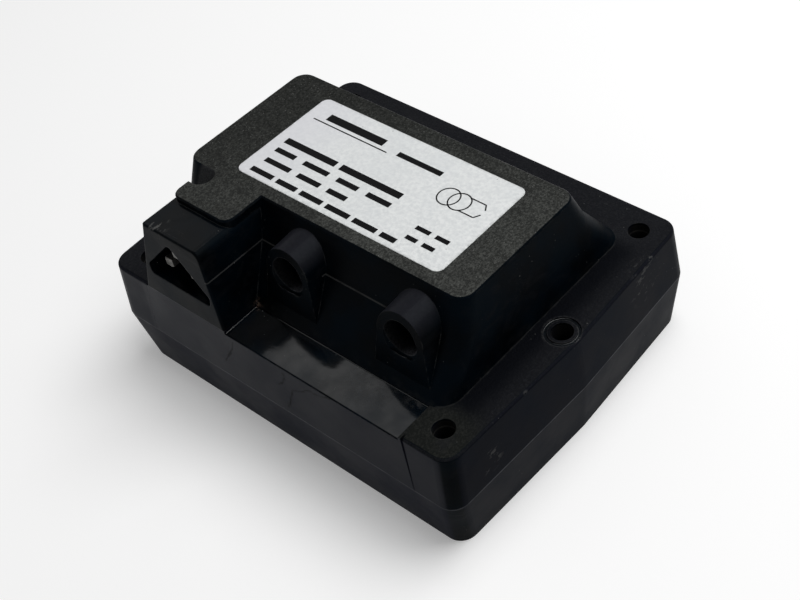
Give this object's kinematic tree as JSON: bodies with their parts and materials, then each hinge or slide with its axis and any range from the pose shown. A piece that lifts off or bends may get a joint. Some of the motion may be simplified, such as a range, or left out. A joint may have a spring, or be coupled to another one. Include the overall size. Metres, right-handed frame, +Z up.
{
  "type": "ignition transformer",
  "caption": "Potted ignition transformer for a burner: deep moulded skirt, raised top with label, mains inlet and round high-voltage sockets",
  "frame": {"origin": "middle of the footprint, on the surface the part stands on", "axes": "+X along the long side with the inlet towards -X, -Y out of the socket mouths, +Z up"},
  "size_m": [0.1202, 0.093, 0.0562],
  "materials": {
    "housing": "satin moulded plastic, fine spark-eroded grain on the flat tops",
    "label": "silver-white film, slightly mottled",
    "resin": "cast resin, dull",
    "core": "punched electrical steel sheets",
    "band": "plain strip",
    "bobbin": "natural moulded plastic",
    "copper": "enamelled copper wire",
    "tape": "polyester tape",
    "lead": "smooth insulation",
    "earth_lead": "smooth insulation",
    "hv_insulation": "silicone insulation",
    "pin": "plain turned or drawn brass"
  },
  "bodies": {
    "root": {"housing": "housing", "rating_label": "label", "potting_resin": "resin", "core_e_stack": "core", "core_i_stack": "core", "core_band": "band", "primary_bobbin": "bobbin", "primary_winding": "copper", "primary_wrap": "tape", "lead_line": "lead", "lead_neutral": "lead", "lead_earth": "earth_lead", "midpoint_link": "lead", "secondary_bobbin_left": "bobbin", "secondary_winding_left": "copper", "hv_terminal_left": "pin", "hv_lead_left": "hv_insulation", "magnetic_shunt_front_left": "core", "magnetic_shunt_back_left": "core", "secondary_bobbin_right": "bobbin", "secondary_winding_right": "copper", "hv_terminal_right": "pin", "hv_lead_right": "hv_insulation", "magnetic_shunt_front_right": "core", "magnetic_shunt_back_right": "core", "inlet_pin_line": "pin", "inlet_pin_neutral": "pin", "inlet_pin_earth": "pin"}
  },
  "joints": []
}
